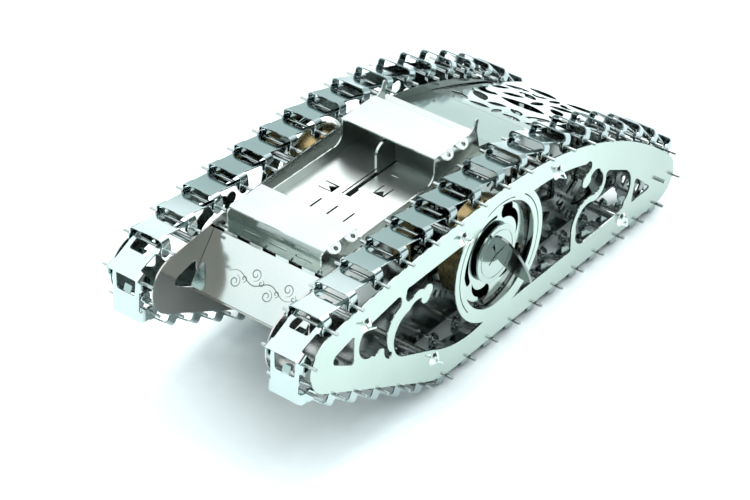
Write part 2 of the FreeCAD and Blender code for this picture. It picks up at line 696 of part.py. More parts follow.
def inner_panel():
    y0, y1 = INNER_PANEL_Y, INNER_PANEL_Y + PANEL_T
    panel = side_prism(loop_wire(AXLE_X, PANEL_GAP), y0, y1)
    panel = panel.cut(side_prism(pitch_rounded(NOSE_WINDOW), y0 - 1, y1 + 1))
    holes = [(BARREL_C, ARBOR_R + RUN_FIT), (AXLE, AXLE_R + RUN_FIT),
             (GEAR_A, STUD_R), (GEAR_B, STUD_R), (CLICK, 0.8)]
    holes += [(mm(rod), ROD_R + 0.02) for rod in TIE_RODS[:-1]]
    for centre, radius in holes:
        panel = panel.cut(round_bar(centre, radius, y0 - 1, y1 + 1))
    return panel


both_sides("outer_panel", outer_panel())
both_sides("inner_panel", inner_panel())
sleeve_r = RING_HOLE_R * PITCH
sleeve = round_bar(BARREL_C, sleeve_r + 0.45, DRUM_Y1 + COVER_T + 0.3, OUTER_PANEL_Y)
both_sides("wheel_sleeve", sleeve.cut(round_bar(BARREL_C, sleeve_r, DRUM_Y1, OUTER_PANEL_Y + 1)))
# the rear rod is a short post that stops beside gear B; the others join both panels
collar_starts = [INNER_PANEL_Y + PANEL_T] * (len(TIE_RODS) - 1) + [GEAR_Y1 + 1.0]
rods = [round_bar(mm(rod), 1.3, start, OUTER_PANEL_Y) for rod, start in zip(TIE_RODS, collar_starts)]
rods = [rod.fuse(round_bar(mm(at), ROD_R, start, OUTER_PANEL_Y + PANEL_T))
        for rod, at, start in zip(rods, TIE_RODS, collar_starts)]
rods = [rod.fuse(round_bar(mm(at), ROD_R, INNER_PANEL_Y - 0.5, OUTER_PANEL_Y))
        for rod, at in zip(rods, TIE_RODS[:-1])] + rods[-1:]
pivot = round_bar(CLICK, 0.8, RATCHET_Y0 - 0.5, INNER_PANEL_Y + PANEL_T)
both_sides("tie_rods", Part.Compound(rods + [pivot]))


def twist_tab(centre, degrees):
    """Domed washer with the twisted end of the rod's tab standing on it."""
    face = OUTER_PANEL_Y + PANEL_T
    washer = Part.makeCone(2.4, 1.3, 0.8, V(centre[0], face, centre[1]), V(0, 1, 0))
    low = outline((-1.5, -0.25), [((1.5, -0.25),), ((1.5, 0.25),), ((-1.5, 0.25),)], "xy")
    high = outline((-1.8, -0.25), [((1.8, -0.25),), ((1.8, 0.25),), ((-1.8, 0.25),)], "xy", 1.7)
    high.rotate(V(0, 0, 0), V(0, 0, 1), 35)
    blade = Part.makeLoft([low, high], True, True)
    blade.rotate(V(0, 0, 0), V(1, 0, 0), -90)
    blade.rotate(V(0, 0, 0), V(0, 1, 0), -degrees)
    blade.translate(V(centre[0], face + 0.5, centre[1]))
    return washer.fuse(blade)


both_sides("twist_tabs", Part.Compound([twist_tab(mm(rod), 35 + 20 * i)
                                        for i, rod in enumerate(TIE_RODS)]))


# ---------------------------------------------------------------- hull plates
def strip(points, y0, y1, thickness=PANEL_T):
    """Bent sheet: its section follows the points in XZ, given in pitches."""
    path = [V(x * PITCH, 0, z * PITCH) for x, z in points]
    left, right = [], []
    for i, p in enumerate(path):
        a = (path[i] - path[i - 1]).normalize() if i else (path[1] - path[0]).normalize()
        b = (path[i + 1] - path[i]).normalize() if i < len(path) - 1 else a
        bisect = (a + b).normalize()
        normal = V(-bisect.z, 0, bisect.x)
        grow = thickness / 2 / max(a.dot(bisect), 0.3)
        left.append(p + normal * grow)
        right.append(p - normal * grow)
    ring = left + right[::-1]
    wire = Part.makePolygon(ring + [ring[0]])
    solid = Part.Face(wire).extrude(V(0, y1 - y0, 0))
    solid.translate(V(0, y0, 0))
    return solid


SHELF_Z = 4.24                     # shelf behind the nose plate, pitches


def nose_plate():
    """Sloping front plate with locking tabs along its top edge."""
    plate = strip([(4.22, 4.20), (5.21, 2.94)], -HULL_HALF, HULL_HALF)
    over = SHELF_Z * PITCH + PANEL_T / 2 + 0.06
    for y in (-14, -4.7, 4.7, 14):
        plate = plate.fuse([box(44.6, 46.7, y - 2.3, y + 2.3, over, over + 0.45),
                            box(46.2, 46.7, y - 2.3, y + 2.3, 46.0, over + 0.45)])
    return plate


def front_strips():
    """Shelf behind the nose plate and the slotted wall behind it."""
    shelf = strip([(3.45, 4.52), (3.45, SHELF_Z), (4.16, SHELF_Z)], -HULL_HALF, HULL_HALF)
    for side in (1, -1):
        middle = side * (WALL_Y + PANEL_T / 2)
        shelf = shelf.cut(box(36, 39.2, middle - PANEL_T / 2 - 0.05, middle + PANEL_T / 2 + 0.05,
                              SHELF_Z * PITCH + PANEL_T / 2, 51))
    for y in (-9.3, 0.0, 9.3):
        shelf = shelf.cut(box(42.6, 43.3, y - 3.0, y + 3.0, 44, 49))
    for y in (-7.0, 7.0):
        shelf = shelf.cut(box(36, 39, y - 5.0, y + 5.0, 48.0, 48.8))
    return shelf


SLOT_X0, SLOT_X1 = -1.05, 1.02     # the lever's slot in the floor, pitches
LEVER_Y = -1.4


def tub_floor():
    floor = box(-2.9 * PITCH, 3.42 * PITCH, -HULL_HALF, HULL_HALF,
                FLOOR_Z * PITCH - PANEL_T, FLOOR_Z * PITCH)
    z0, z1 = FLOOR_Z * PITCH - 2, FLOOR_Z * PITCH + 2
    cuts = [box(SLOT_X0 * PITCH, SLOT_X1 * PITCH, LEVER_Y - 0.7, LEVER_Y + 0.7, z0, z1),
            box(0.62 * PITCH, SLOT_X1 * PITCH, LEVER_Y, LEVER_Y + 1.3, z0, z1),
            box(-0.45 * PITCH, SLOT_X1 * PITCH, LEVER_Y - 1.9, LEVER_Y - 1.4, z0, z1)]
    for y in (6.0, 0.0, -6.0):
        cuts.append(box(1.52 * PITCH, 2.08 * PITCH, y - 0.35, y + 0.35, z0, z1))
    # two square holes, each with a bent arrow-shaped tongue left standing
    for x, y, turn in ((0.28, 5.6, 0), (0.98, -8.2, 90)):
        hole = box(-2.6, 2.6, -1.9, 1.9, z0, z1)
        tongue = prism(outline((-2.7, -1.5), [((1.9, -1.5),), ((-0.2, 0.1),), ((1.9, 1.2),),
                                              ((-2.7, 1.5),)], "xy"), V(0, 0, z1 - z0))
        tongue.translate(V(0, 0, z0))
        hole = hole.cut(tongue)
        hole.rotate(V(0, 0, 0), V(0, 0, 1), turn)
        hole.translate(V(x * PITCH, y, 0))
        cuts.append(hole)
    # shallow I and O marks for the switch's two ends
    mark = FLOOR_Z * PITCH - 0.12
    cuts.append(box(-0.42 * PITCH - 0.3, -0.42 * PITCH + 0.3, 2.2, 4.8, mark, z1))
    ring = Part.makeCylinder(1.5, 3, V(0.98 * PITCH, 3.4, mark))
    cuts.append(ring.cut(Part.makeCylinder(0.95, 4, V(0.98 * PITCH, 3.4, mark - 0.5))))
    for cut in cuts:
        floor = floor.cut(cut)
    return floor


FRONT_TOP_Z, MIDDLE_TOP_Z = 4.80, 5.17
FRONT_TABS, MIDDLE_TABS = (2.95, 3.62), (-1.62, -0.98)
TAB_R, TAB_SLOPE = 2.6, 38.0        # half-round locking tabs and how far they hang down


def tub_wall():
    """Side wall: high under both top plates, low between them, finial at the rear."""
    base = FLOOR_Z + 0.002
    wire = pitch_outline((4.00, base), [
        ((4.05, 4.30), (4.06, 4.50)), ((4.06, FRONT_TOP_Z - 0.20),),
        ((4.04, FRONT_TOP_Z - 0.05), (3.96, FRONT_TOP_Z - 0.002)),
        ((2.66, FRONT_TOP_Z - 0.002),), ((2.66, 4.62),), ((2.56, 4.47), (2.40, 4.49)),
        ((-0.10, 4.49),), ((-0.42, 4.56), (-0.53, 4.86)),
        ((-0.55, MIDDLE_TOP_Z - 0.002),), ((-1.98, MIDDLE_TOP_Z - 0.002),),
        ((-2.16, 5.26), (-2.28, 5.46)), ((-2.36, 5.50), (-2.40, 5.42)),
        ((-2.34, 4.95), (-2.42, 4.60)), ((-2.60, 4.46), (-2.86, base))])
    wall = side_prism(wire, WALL_Y, WALL_Y + PANEL_T)
    over_shelf = box(3.40 * PITCH, 4.2 * PITCH, 0, 30, 40, SHELF_Z * PITCH + PANEL_T / 2 + 0.02)
    return wall.cut(over_shelf)


def locking_tab():
    """Half-disc with an eye, hinged on the X axis and hanging outwards (+Y)."""
    disc = Part.makeCylinder(TAB_R, PANEL_T, V(0, 0, -PANEL_T))
    disc = disc.cut(box(-5, 5, -5, -0.2, -2, 2))
    disc = disc.cut(Part.makeCylinder(0.75, 4, V(-0.2, 1.15, -2)))
    disc.rotate(V(0, 0, 0), V(1, 0, 0), -TAB_SLOPE)
    return disc


def top_plate(x0, x1, z, tabs):
    """Flat cross plate with two half-round tabs folded down over each wall."""
    level = z * PITCH
    edge = WALL_Y + PANEL_T
    plate = box(x0 * PITCH, x1 * PITCH, -edge, edge, level, level + PANEL_T)
    for sign in SIDES.values():
        for x in tabs:
            tab = locking_tab()
            tab.translate(V(x * PITCH, edge, level + PANEL_T - 0.15))
            tab = tab.cut(box(x * PITCH - 5, x * PITCH + 5, 0, edge, 0, level))
            plate = plate.fuse(mirror_side(tab, sign))
    return plate


DECK = [(-3.10, 4.33), (-5.95, 3.42), (-9.05, 2.08)]   # three points on the deck's arc
DECK_SPLIT = -4.95


def deck_sheet(x0, x1):
    """Part of the cylinder-curved rear deck between two stations."""
    def offset_arc(shift):
        arc = Part.Arc(*[V(x * PITCH, 0, z * PITCH) for x, z in DECK]).toShape().Curve
        circle = Part.Circle(arc.Center, V(0, 1, 0), arc.Radius + shift)
        return circle.toShape()
    outer = Part.Face(Part.Wire(offset_arc(0))).extrude(V(0, 2 * HULL_HALF, 0))
    inner = Part.Face(Part.Wire(offset_arc(-PANEL_T))).extrude(V(0, 2 * HULL_HALF, 0))
    sheet = outer.cut(inner)
    sheet.translate(V(0, -HULL_HALF, 0))
    return sheet.common(box(x0 * PITCH, x1 * PITCH, -30, 30, 1.4 * PITCH, 6 * PITCH))


def scroll_openings():
    """Generic leaf-and-scroll piercing, drawn in plan for y > 0 and mirrored."""
    def leaf(x, y, length, width, turn):
        wire = outline((-length / 2, 0), [((0, 0.58 * width), (length / 2, 0)),
                                          ((0, -0.42 * width), (-length / 2, 0))], "xy")
        solid = prism(wire, V(0, 0, 80))
        solid.rotate(V(0, 0, 0), V(0, 0, 1), turn)
        solid.translate(V(x, y, 0))
        return solid

    def hook(x, y, radius, width, a0, a1):
        r0, r1 = radius - width / 2, radius + width / 2
        mid = (a0 + a1) / 2
        end = polar((x, y), radius, a1)
        wire = outline(polar((x, y), r0, a0),
                       [(polar((x, y), r0, mid), end), (polar((x, y), r1, mid),
                                                        polar((x, y), r1, a0))], "xy")
        return prism(wire, V(0, 0, 80))

    cuts = []
    for x, y, length, width, turn in ((-58.6, 6.0, 7.4, 2.8, 84), (-59.8, 14.2, 7.6, 3.2, 104),
                                      (-64.6, 3.6, 6.2, 3.2, 64), (-66.6, 11.6, 9.8, 4.2, 124),
                                      (-79.8, 8.2, 7.2, 3.8, 56), (-85.4, 6.6, 8.6, 3.8, 108),
                                      (-89.4, 13.4, 8.6, 3.8, 66), (-95.6, 7.6, 12.0, 4.4, 97),
                                      (-83.0, 15.2, 6.6, 3.2, 24)):
        cuts.append(leaf(x, y, length, width, turn))
    for x, y, radius, width, a0, a1 in ((-76.2, 13.6, 3.3, 2.6, -60, 150),
                                        (-91.4, 5.9, 2.2, 2.0, -90, 80)):
        cuts.append(hook(x, y, radius, width, a0, a1))
    mirrored = [c.mirror(V(0, 0, 0), V(0, 1, 0)) for c in cuts]
    middle = [leaf(-73.2, 0, 17.0, 5.6, 90), leaf(-59.2, 0, 5.0, 2.6, 0),
              leaf(-81.0, 0, 6.6, 3.2, 0), leaf(-90.8, 0, 5.4, 3.0, 0)]
    return cuts + mirrored + middle


add("nose_plate", nose_plate())
add("front_strips", front_strips())
add("tub_floor", tub_floor())
both_sides("tub_wall", tub_wall())
add("front_top_plate", top_plate(2.69, 3.96, FRONT_TOP_Z, FRONT_TABS))
add("middle_top_plate", top_plate(-1.95, -0.53, MIDDLE_TOP_Z, MIDDLE_TABS))
add("deck_step", strip([(-1.75, 5.03), (-2.40, 5.03), (-2.50, 4.53), (-2.97, 4.42), (-2.97, 4.17)],
                       -WALL_Y, WALL_Y))
add("rear_deck", deck_sheet(DECK_SPLIT + 0.02, DECK[0][0]))
scroll_deck = deck_sheet(DECK[2][0], DECK_SPLIT).common(box(-150, 0, -REAR_HALF, REAR_HALF, 0, 60))
for opening in scroll_openings():
    scroll_deck = scroll_deck.cut(opening)
add("scroll_deck", scroll_deck)
add("belly_plate", strip([(5.10, 2.78), (1.75, 0.70), (-8.80, 0.70)], -HULL_HALF, HULL_HALF))
add("rear_plate", strip([(-8.90, 0.78), (-9.30, 1.00), (-9.34, 1.45), (-9.10, 2.00)],
                        -REAR_HALF, REAR_HALF))


# ---------------------------------------------------------------- on/off lever
def lever():
    """Upright tab that slides in the floor's slot, on a neck below it."""
    x0, x1 = -0.98 * PITCH, -0.20 * PITCH
    top = 5.08 * PITCH
    floor = FLOOR_Z * PITCH
    wire = rounded([(x0, floor + 0.3, 0), (x0, top, 3.6), (x1, top, 3.6), (x1, floor + 0.3, 0),
                    (x0 + 5.6, floor + 0.3, 0), (x0 + 5.6, floor - 2.0, 0),
                    (x0 + 1.0, floor - 2.0, 0), (x0 + 1.0, floor + 0.3, 0)])
    return side_prism(wire, LEVER_Y - 0.4, LEVER_Y + 0.4)


def brake_slide():
    """Flat bar under the floor that carries a stop finger towards each motor."""
    z0 = FLOOR_Z * PITCH - 2.6
    bar = box(-24, -3, -3.5, 1.5, z0, z0 + 0.6)
    cross = box(-24, -19, -17.5, 17.5, z0, z0 + 0.6)
    fingers = [box(-24, -19, s * 17.2 - 0.3, s * 17.2 + 0.3, z0 - 4.0, z0 + 0.6) for s in (1, -1)]
    return bar.fuse([cross] + fingers)


add("on_off_lever", lever())
add("brake_slide", brake_slide())

# ------------------------------------------------- set down on the ground, export
corners = [v.Point for shape in shapes.values() for v in shape.Vertexes]
x_min, x_max = min(p.x for p in corners), max(p.x for p in corners)
shift = V(-(x_min + x_max) / 2, 0, -min(p.z for p in corners))
os.makedirs("parts", exist_ok=True)
for name, shape in shapes.items():
    shape.translate(shift)
    shape.exportStep("parts/" + name + ".step")
for label, spot in (("barrel", BARREL_C), ("gear_a", GEAR_A), ("gear_b", GEAR_B),
                    ("axle", AXLE), ("click", CLICK)):
    print(label, round(spot[0] + shift.x, 4), round(spot[1] + shift.z, 4))
print("shift", round(shift.x, 4), round(shift.z, 4), "axle in pitches", round(AXLE_X / PITCH, 4))
print("length", round(x_max - x_min, 2))
print("ground links", len(ground), "upper", len(upper), "nodes", len(shapes))
for name, shape in shapes.items():
    if not shape.isValid() or any(s.Volume <= 0 for s in shape.Solids) or not shape.Solids:
        print("BAD", name, shape.isValid(), len(shape.Solids))
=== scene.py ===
import math

import bpy
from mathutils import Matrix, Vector


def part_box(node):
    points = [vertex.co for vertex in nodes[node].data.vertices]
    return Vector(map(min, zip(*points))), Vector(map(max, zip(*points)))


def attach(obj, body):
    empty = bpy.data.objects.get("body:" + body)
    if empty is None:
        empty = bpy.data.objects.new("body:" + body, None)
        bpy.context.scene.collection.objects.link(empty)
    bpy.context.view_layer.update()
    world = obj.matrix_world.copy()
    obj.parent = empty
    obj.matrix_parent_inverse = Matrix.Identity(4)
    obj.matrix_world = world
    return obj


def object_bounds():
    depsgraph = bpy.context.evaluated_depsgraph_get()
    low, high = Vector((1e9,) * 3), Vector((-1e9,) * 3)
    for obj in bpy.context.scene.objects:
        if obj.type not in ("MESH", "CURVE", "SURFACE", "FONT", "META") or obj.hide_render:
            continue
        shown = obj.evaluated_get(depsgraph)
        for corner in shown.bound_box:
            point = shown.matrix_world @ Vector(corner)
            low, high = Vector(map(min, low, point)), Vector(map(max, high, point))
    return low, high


# Polished-steel look for the clockwork tracked chassis. Units are metres.
# +X points to the raised nose, +Y to the vehicle's left, +Z up.

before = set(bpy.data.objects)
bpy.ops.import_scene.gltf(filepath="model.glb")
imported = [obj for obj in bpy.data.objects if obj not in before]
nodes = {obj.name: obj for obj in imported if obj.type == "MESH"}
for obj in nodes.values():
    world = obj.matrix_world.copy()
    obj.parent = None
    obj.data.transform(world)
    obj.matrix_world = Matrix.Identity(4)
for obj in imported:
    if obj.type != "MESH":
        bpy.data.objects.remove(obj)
cad_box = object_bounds()

# ---------------------------------------------------------------- view and room
CAMERA_SPOT = Vector((0.4718, 0.3610, 0.4474))
CAMERA_LOOK = Vector((-0.634, -0.503, -0.588))
CAMERA_LENS = 117.7            # mm on a sensor CAMERA_SENSOR wide
CAMERA_SENSOR = 36.0
CAMERA_CLIP = (0.01, 20.0)     # nearest and farthest distance drawn
LAMP_AIM = Vector((0, 0, 0.03))
ROOM_STRENGTH = 1.9
# colour of the room by the sine of the elevation
HORIZON = [(0.00, (0.50, 0.61, 0.60)), (0.38, (0.50, 0.61, 0.60)), (0.46, (0.95, 0.98, 1.0)),
           (1.00, (0.95, 0.98, 1.0))]
# dark parts of the room: azimuth and elevation of the middle, shade by the cosine from it
DARK_PARTS = [(38, 14, [(0.66, 1.0), (0.88, (0.46, 0.44, 0.42))]),
              (120, 4, [(0.82, 1.0), (0.94, 0.06)])]

FLOOR_SIZE = 4.0
FLOOR_GRAIN = 300.0            # noise cells a metre
FLOOR_TONES = [(0.3, (0.75, 0.82, 0.83)), (0.7, (0.77, 0.84, 0.85))]
FLOOR_ROUGHNESS = 0.6
FLOOR_SPECULAR = 0.2

# ---------------------------------------------------------------- surface detail
EVEN = (1, 1, 1)               # noise that isn't stretched
CLOUD_SCALE = 45.0             # faint clouds in the polish, cells a metre
ROLLING_SCALE = 900.0          # rolling marks before they are stretched
WAVE_SCALE = 28.0              # slow waviness of thin sheet
CLOUD_DEPTH = 0.05             # how far the clouds darken the sheet
WAVE_DEPTH = 0.0006
ROLLING_DEPTH = 0.000015
EDGE_RADIUS = 0.00012          # rounding that the light sees on cut edges
LATHE_SCALE = 2600.0           # turning lines before they are stretched
LATHE_STRETCH = (0.15, 6.0, 0.15)
LATHE_DEPTH = 0.00001
STAIN_SCALE = 160.0
STAIN_SHADE = 0.78
DRUM_SKIN = 0.0002             # outer layer of the drum kept out of the painted shade
# painted shade for the inside of the spring drum
DRUM_INSIDE_SHADE = (0.02, 0.02, 0.022)

# ---------------------------------------------------------------- etched ornament
NOSE_FACING = Vector((0.786, 0.0, 0.618))     # outward direction of the nose plate's slope
ETCH_WIDTH = 0.00036           # broadest stroke
ETCH_RISE = 0.00002            # the frosted strokes stand this far over the sheet
ETCH_TIP = 0.35                # width of a stroke's tip against its middle
FROST_SCALE = 6000.0
FROST_DEPTH = 0.00001
VINE_HALF = 0.0115             # half of the vine's length
VINE_HEIGHT = 0.0011
VINE_STEPS = 120
VINE_ASIDE = 0.0015            # the vine sits this far to the vehicle's left
CURL_PAIRS = 4                 # a large and a small curl each
CURL_STEPS = 36
CURL_SHRINK = 0.78             # how much of its radius a curl loses


# ---------------------------------------------------------------- node helpers


def new_material(name):
    material = bpy.data.materials.new(name)
    material.use_nodes = True
    tree = material.node_tree
    tree.nodes.clear()
    output = tree.nodes.new("ShaderNodeOutputMaterial")
    shader = tree.nodes.new("ShaderNodeBsdfPrincipled")
    tree.links.new(shader.outputs["BSDF"], output.inputs["Surface"])
    return material, tree, shader


def coordinates(tree, scale):
    """Object coordinates stretched by scale, so grain can run one way."""
    mapping = tree.nodes.new("ShaderNodeMapping")
    mapping.inputs["Scale"].default_value = scale
    tree.links.new(object_position(tree), mapping.inputs["Vector"])
    return mapping.outputs["Vector"]


def object_position(tree):
    return tree.nodes.new("ShaderNodeTexCoord").outputs["Object"]


def along_axis(tree, axis):
    """One coordinate of a surface point, in the piece's own frame."""
    split = tree.nodes.new("ShaderNodeSeparateXYZ")
    tree.links.new(object_position(tree), split.inputs["Vector"])
    return split.outputs[axis]


def noise(tree, vector, scale, detail=4.0, roughness=0.55):
    texture = tree.nodes.new("ShaderNodeTexNoise")
    texture.inputs["Scale"].default_value = scale
    texture.inputs["Detail"].default_value = detail
    texture.inputs["Roughness"].default_value = roughness
    tree.links.new(vector, texture.inputs["Vector"])
    return texture.outputs["Fac"]


def ramp(tree, value, stops):
    """Colour ramp through (position, colour) stops; a colour may be one grey."""
    node = tree.nodes.new("ShaderNodeValToRGB")
    elements = node.color_ramp.elements
    while len(elements) < len(stops):
        elements.new(0.5)
    for element, (position, colour) in zip(elements, stops):
        element.position = position
        grey = (colour, colour, colour) if isinstance(colour, float) else colour
        element.color = (*grey, 1.0)
    tree.links.new(value, node.inputs["Fac"])
    return node.outputs["Color"]


def math_node(tree, operation, a, b=0.0):
    node = tree.nodes.new("ShaderNodeMath")
    node.operation = operation
    for socket, value in zip(node.inputs, (a, b)):
        if isinstance(value, (int, float)):
            socket.default_value = value
        else:
            tree.links.new(value, socket)
    return node.outputs["Value"]


def vector_node(tree, operation, a, b=None):
    """Vector arithmetic on a socket and a constant."""
    node = tree.nodes.new("ShaderNodeVectorMath")
    node.operation = operation
    tree.links.new(a, node.inputs[0])
    if b is not None:
        node.inputs[1].default_value = b
    return node.outputs["Value" if operation in ("LENGTH", "DOT_PRODUCT") else "Vector"]


def mix_colour(tree, factor, a, b, blend="MIX"):
    node = tree.nodes.new("ShaderNodeMix")
    node.data_type = "RGBA"
    node.blend_type = blend
    for socket, value in (("Factor", factor), ("A", a), ("B", b)):
        target = next(s for s in node.inputs if s.name == socket and
                      s.type == ("VALUE" if socket == "Factor" else "RGBA"))
        if isinstance(value, (int, float)):
            target.default_value = value
        elif isinstance(value, tuple):
            target.default_value = (*value, 1.0)
        else:
            tree.links.new(value, target)
    return next(s for s in node.outputs if s.type == "RGBA")


def bump(tree, height, strength, distance, normal=None):
    node = tree.nodes.new("ShaderNodeBump")
    node.inputs["Strength"].default_value = strength
    node.inputs["Distance"].default_value = distance
    tree.links.new(height, node.inputs["Height"])
    if normal is not None:
        tree.links.new(normal, node.inputs["Normal"])
    return node.outputs["Normal"]


def rounded_edges(tree, radius):
    node = tree.nodes.new("ShaderNodeBevel")
    node.samples = 4
    node.inputs["Radius"].default_value = radius
    return node.outputs["Normal"]


# ---------------------------------------------------------------- metals


def sheet_metal(name, tint, grain, gloss):
    """Polished stainless sheet: rolled grain, faint clouds, hairline scratches.

    tint is its colour, grain the stretch of the rolling marks along x, y and z,
    and gloss the roughness of its smoothest and its dullest spots.
    """
    material, tree, shader = new_material(name)
    clouds = noise(tree, coordinates(tree, EVEN), CLOUD_SCALE, 3.0)
    rolling = noise(tree, coordinates(tree, grain), ROLLING_SCALE, 6.0, 0.65)
    low = tuple(c * (1 - CLOUD_DEPTH) for c in tint)
    high = tuple(min(1.0, c * (1 + CLOUD_DEPTH * 0.6)) for c in tint)
    base = ramp(tree, clouds, [(0.3, low), (0.55, tint), (0.75, high)])
    streaks = ramp(tree, rolling, [(0.35, 0.93), (0.6, 1.0)])
    colour = mix_colour(tree, 1.0, base, streaks, "MULTIPLY")
    tree.links.new(colour, shader.inputs["Base Color"])
    cloud_dullness = ramp(tree, clouds, [(0.35, 0.25), (0.7, 0.8)])
    dullness = mix_colour(tree, 0.5, cloud_dullness, rolling)
    rough = ramp(tree, dullness, [(0.3, gloss[0]), (0.75, gloss[1])])
    tree.links.new(rough, shader.inputs["Roughness"])
    shader.inputs["Metallic"].default_value = 1.0
    waves = noise(tree, coordinates(tree, EVEN), WAVE_SCALE, 1.0)
    normal = bump(tree, waves, 1.0, WAVE_DEPTH, rounded_edges(tree, EDGE_RADIUS))
    normal = bump(tree, rolling, 0.25, ROLLING_DEPTH, normal)
    tree.links.new(normal, shader.inputs["Normal"])
    return material


def turned_metal(name, tint, gloss):
    """Drawn wire or turned rod: fine lines round the axis (which lies along y)."""
    material, tree, shader = new_material(name)
    lines = noise(tree, coordinates(tree, LATHE_STRETCH), LATHE_SCALE, 3.0)
    stains = noise(tree, coordinates(tree, EVEN), STAIN_SCALE, 4.0)
    low = tuple(c * STAIN_SHADE for c in tint)
    colour = ramp(tree, stains, [(0.3, low), (0.6, tint)])
    tree.links.new(colour, shader.inputs["Base Color"])
    rough = ramp(tree, lines, [(0.3, gloss[0]), (0.7, gloss[1])])
    tree.links.new(rough, shader.inputs["Roughness"])
    shader.inputs["Metallic"].default_value = 1.0
    tree.links.new(bump(tree, lines, 0.3, LATHE_DEPTH), shader.inputs["Normal"])
    return material


def etched_steel():
    """Frosted, darker steel that the etching leaves in the polish."""
    material, tree, shader = new_material("etched_steel")
    frost = noise(tree, coordinates(tree, EVEN), FROST_SCALE, 3.0)
    tree.links.new(ramp(tree, frost, [(0.35, (0.13, 0.14, 0.135)), (0.65, (0.26, 0.28, 0.27))]),
                   shader.inputs["Base Color"])
    tree.links.new(ramp(tree, frost, [(0.3, 0.38), (0.7, 0.55)]), shader.inputs["Roughness"])
    shader.inputs["Metallic"].default_value = 1.0
    tree.links.new(bump(tree, frost, 0.5, FROST_DEPTH), shader.inputs["Normal"])
    return material


def recolour(material, change):
    """Replace a finish's colour by change(tree, colour)."""
    tree = material.node_tree
    shader = next(n for n in tree.nodes if n.type == "BSDF_PRINCIPLED")
    plain = shader.inputs["Base Color"].links[0].from_socket
    tree.links.new(change(tree, plain), shader.inputs["Base Color"])
    return material


def shade_along_x(material, stops):
    """Multiply a finish by a ramp of painted shade from the object's rear end to its nose."""
    low, high = cad_box[0][0], cad_box[1][0]

    def shaded(tree, plain):
        along = math_node(tree, "SUBTRACT", along_axis(tree, "X"), low)
        along = math_node(tree, "DIVIDE", along, high - low)
        return mix_colour(tree, 1.0, plain, ramp(tree, along, stops), "MULTIPLY")

    return recolour(material, shaded)


def paint_inner_face_shade(material, node_name, shade):
    """Darken, as painted shade, the side of a left or right panel that faces the vehicle's
    middle.
    """
    low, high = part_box(node_name)
    boundary = low.y + (high.y - low.y) * 0.3

    def inner_face_shaded(tree, plain):
        from_middle = math_node(tree, "ABSOLUTE", along_axis(tree, "Y"))
        outer = math_node(tree, "GREATER_THAN", from_middle, boundary)
        # painted shade on the face towards the vehicle's middle
        painted_inner_shade = mix_colour(tree, 1.0, plain, shade, "MULTIPLY")
        return mix_colour(tree, outer, painted_inner_shade, plain)

    return recolour(material, inner_face_shaded)


def brass_drum():
    """Turned brass outside; painted shade makes it dark inside, where the spring lies."""
    low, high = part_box("left_spring_barrel")
    middle = (low + high) / 2
    inside_radius = (high.x - low.x) / 2 - DRUM_SKIN

    def shade_drum_inside(tree, plain):
        offset = vector_node(tree, "SUBTRACT", object_position(tree), (middle.x, 0, middle.z))
        flat = vector_node(tree, "MULTIPLY", offset, (1, 0, 1))
        radius = vector_node(tree, "LENGTH", flat)
        outside = math_node(tree, "GREATER_THAN", radius, inside_radius)
        return mix_colour(tree, outside, DRUM_INSIDE_SHADE, plain)

    # the brass tint is darkened as painted shade
    return recolour(turned_metal("turned_brass", (0.38, 0.29, 0.14), (0.12, 0.30)), shade_drum_inside)


# ---------------------------------------------------------------- finishes
ALONG_X, ALONG_Y, ALONG_Z = (12.0, 1.0, 1.0), (1.0, 9.0, 1.0), (1.0, 1.0, 14.0)
LINK_GRAIN, GEAR_GRAIN = (1.0, 10.0, 1.0), (1.0, 1.0, 8.0)
KEY_GRAIN, TAB_GRAIN = (6.0, 1.0, 1.0), (1.0, 1.0, 4.0)

# painted shade: the side panels darken towards the rear end
SIDE_STEEL = shade_along_x(
    sheet_metal("side_panel_steel", (0.50, 0.59, 0.54), ALONG_Z, (0.10, 0.20)),
    [(0.05, 0.66), (0.45, 1.0)])
# painted shade on the side panels' faces towards the vehicle's middle
SIDE_STEEL = paint_inner_face_shade(SIDE_STEEL, "left_outer_panel", (0.30, 0.32, 0.32))
COVER_STEEL = sheet_metal("barrel_cover_steel", (0.50, 0.58, 0.54), ALONG_Z, (0.08, 0.16))
# painted shade darkens the inner panels behind the nose; their warm tint is a painted reflection
INNER_STEEL = shade_along_x(
    sheet_metal("inner_panel_steel", (0.52, 0.50, 0.48), ALONG_Z, (0.08, 0.16)),
    [(0.74, (0.46, 0.52, 0.51)), (0.84, 1.0)])
# painted shade: the track links darken behind the nose
LINK_STEEL = shade_along_x(
    sheet_metal("track_link_steel", (0.50, 0.58, 0.57), LINK_GRAIN, (0.05, 0.13)),
    [(0.78, (0.70, 0.71, 0.73)), (0.90, 1.0)])
# These tints are one steel made lighter or darker part by part as painted light and shade:
# dark tints on ground links, gears, key and wheel sleeves are painted shade, the pale
# twisted-tab tint a painted highlight.
GROUND_STEEL = sheet_metal("ground_link_steel", (0.34, 0.39, 0.38), LINK_GRAIN, (0.05, 0.13))
HULL_STEEL = sheet_metal("hull_plate_steel", (0.53, 0.58, 0.56), ALONG_X, (0.08, 0.17))
WALL_STEEL = sheet_metal("tub_wall_steel", (0.46, 0.50, 0.48), ALONG_X, (0.12, 0.22))
FLOOR_STEEL = sheet_metal("tub_floor_steel", (0.55, 0.60, 0.58), ALONG_Y, (0.26, 0.42))
GEAR_STEEL = sheet_metal("gear_steel", (0.28, 0.31, 0.30), GEAR_GRAIN, (0.12, 0.24))
KEY_STEEL = sheet_metal("key_steel", (0.24, 0.27, 0.26), KEY_GRAIN, (0.10, 0.20))
DISC_STEEL = sheet_metal("key_disc_steel", (0.44, 0.51, 0.48), KEY_GRAIN, (0.10, 0.20))
SLEEVE_STEEL = sheet_metal("wheel_sleeve_steel", (0.22, 0.24, 0.23), ALONG_Y, (0.06, 0.14))
